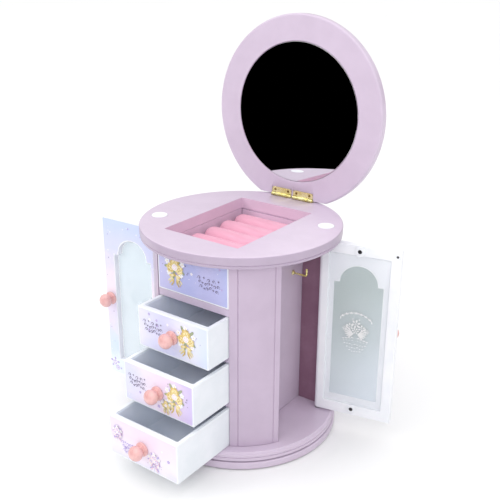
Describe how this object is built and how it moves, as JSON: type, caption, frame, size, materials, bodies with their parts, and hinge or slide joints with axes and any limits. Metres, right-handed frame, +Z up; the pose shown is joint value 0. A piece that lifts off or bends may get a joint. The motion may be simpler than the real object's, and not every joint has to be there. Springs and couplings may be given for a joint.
{
  "type": "jewellery box",
  "caption": "Round jewellery cabinet on a turntable base, with a hinged mirror lid over a ring tray, stacked drawers and two glazed side doors over necklace niches.",
  "frame": {"origin": "centre of the base's underside, on the surface the box stands on", "axes": "+Z up through the lid's centre line; -Y the way the drawers pull out; +X the right-hand door's side seen from the drawers"},
  "size_m": [0.3183, 0.288, 0.4318],
  "materials": {
    "lavender_paint": "satin lavender-pink paint on board",
    "white_paint": "white paint on board",
    "printed_front": "printed watercolour film on board, white border",
    "grey_felt": "flocked grey felt",
    "pink_velvet": "soft pink velvet over foam",
    "pink_wood": "pink lacquered wood knob",
    "brass": "polished brass",
    "steel": "plain steel",
    "clear_pane": "clear acrylic pane, faint green tint",
    "mirror": "mirror glass"
  },
  "bodies": {
    "base": {"base_felt_pad": "grey_felt", "base_disc": "lavender_paint", "turntable_race": "steel", "turntable_bolt": "steel"},
    "cabinet": {"plinth_plate": "lavender_paint", "top_plate": "lavender_paint", "ring_tray": "lavender_paint", "rear_panel": "lavender_paint", "corner_panel_front_right": "lavender_paint", "corner_panel_front_left": "lavender_paint", "corner_panel_rear_right": "lavender_paint", "corner_panel_rear_left": "lavender_paint", "carcass_side_right": "lavender_paint", "carcass_side_left": "lavender_paint", "shelf_lower": "lavender_paint", "shelf_middle": "lavender_paint", "shelf_upper": "lavender_paint", "fixed_front_panel": "printed_front", "door_magnet_right": "white_paint", "door_magnet_left": "white_paint", "top_pivot_pin_right": "white_paint", "top_pivot_pin_left": "white_paint", "ring_roll_pad": "pink_velvet", "necklace_hook_right": "brass", "necklace_hook_left": "brass", "lid_hinge_fixed_right": "brass", "lid_hinge_fixed_left": "brass", "movement_frame": "brass", "tone_comb": "steel", "bottom_pivot_pin_right": "steel", "bottom_pivot_pin_left": "steel"},
    "lid": {"lid_disc": "lavender_paint", "lid_mirror": "mirror", "lid_hinge_moving_right": "brass", "lid_hinge_moving_left": "brass"},
    "drawer_lower": {"drawer_box_lower": "white_paint", "drawer_lining_lower": "grey_felt", "drawer_knob_lower": "pink_wood"},
    "drawer_middle": {"drawer_box_middle": "white_paint", "drawer_lining_middle": "grey_felt", "drawer_knob_middle": "pink_wood"},
    "drawer_upper": {"drawer_box_upper": "white_paint", "drawer_lining_upper": "grey_felt", "drawer_knob_upper": "pink_wood"},
    "door_right": {"door_frame_right": "white_paint", "door_pane_right": "clear_pane", "door_knob_right": "pink_wood", "pane_clip_top_right": "white_paint", "pane_clip_bottom_right": "white_paint", "strike_plate_right": "steel"},
    "door_left": {"door_frame_left": "white_paint", "door_pane_left": "clear_pane", "door_knob_left": "pink_wood", "pane_clip_top_left": "white_paint", "pane_clip_bottom_left": "white_paint", "strike_plate_left": "steel"},
    "winding": {"winding_key": "brass", "spring_barrel": "brass"},
    "cylinder": {"pinned_cylinder": "brass"},
    "governor": {"governor": "steel"}
  },
  "joints": [
    {"name": "cabinet_turn", "type": "hinge", "parent": "base", "child": "cabinet", "pos_m": [0, 0, 0.0087], "axis": [0, 0, 1], "continuous": true},
    {"name": "lid_hinge", "type": "hinge", "parent": "cabinet", "child": "lid", "pos_m": [0, 0.0946, 0.2339], "axis": [1, 0, 0], "range_deg": [0, 92.5]},
    {"name": "drawer_lower_slide", "type": "slide", "parent": "cabinet", "child": "drawer_lower", "axis": [0, -1, 0], "range_m": [-0.0791, 0.0159]},
    {"name": "drawer_middle_slide", "type": "slide", "parent": "cabinet", "child": "drawer_middle", "axis": [0, -1, 0], "range_m": [-0.0547, 0.0403]},
    {"name": "drawer_upper_slide", "type": "slide", "parent": "cabinet", "child": "drawer_upper", "axis": [0, -1, 0], "range_m": [-0.0316, 0.0634]},
    {"name": "door_right_hinge", "type": "hinge", "parent": "cabinet", "child": "door_right", "pos_m": [0.079, 0.038, 0.12], "axis": [0, 0, 1], "range_deg": [-102.6, 0]},
    {"name": "door_left_hinge", "type": "hinge", "parent": "cabinet", "child": "door_left", "pos_m": [-0.079, -0.038, 0.12], "axis": [0, 0, 1], "range_deg": [-93, 9.6]},
    {"name": "key_turn", "type": "hinge", "parent": "cabinet", "child": "winding", "pos_m": [-0.012, 0.065, 0.1862], "axis": [0, 1, 0], "continuous": true},
    {"name": "cylinder_turn", "type": "hinge", "parent": "cabinet", "child": "cylinder", "pos_m": [0, 0.052, 0.1862], "axis": [1, 0, 0], "continuous": true},
    {"name": "governor_turn", "type": "hinge", "parent": "cabinet", "child": "governor", "pos_m": [0.014, 0.065, 0.182], "axis": [0, 0, 1], "continuous": true}
  ],
  "couplings": [
    {"joint": "cylinder_turn", "follows": "key_turn", "ratio": -1.4},
    {"joint": "governor_turn", "follows": "key_turn", "ratio": 6}
  ]
}
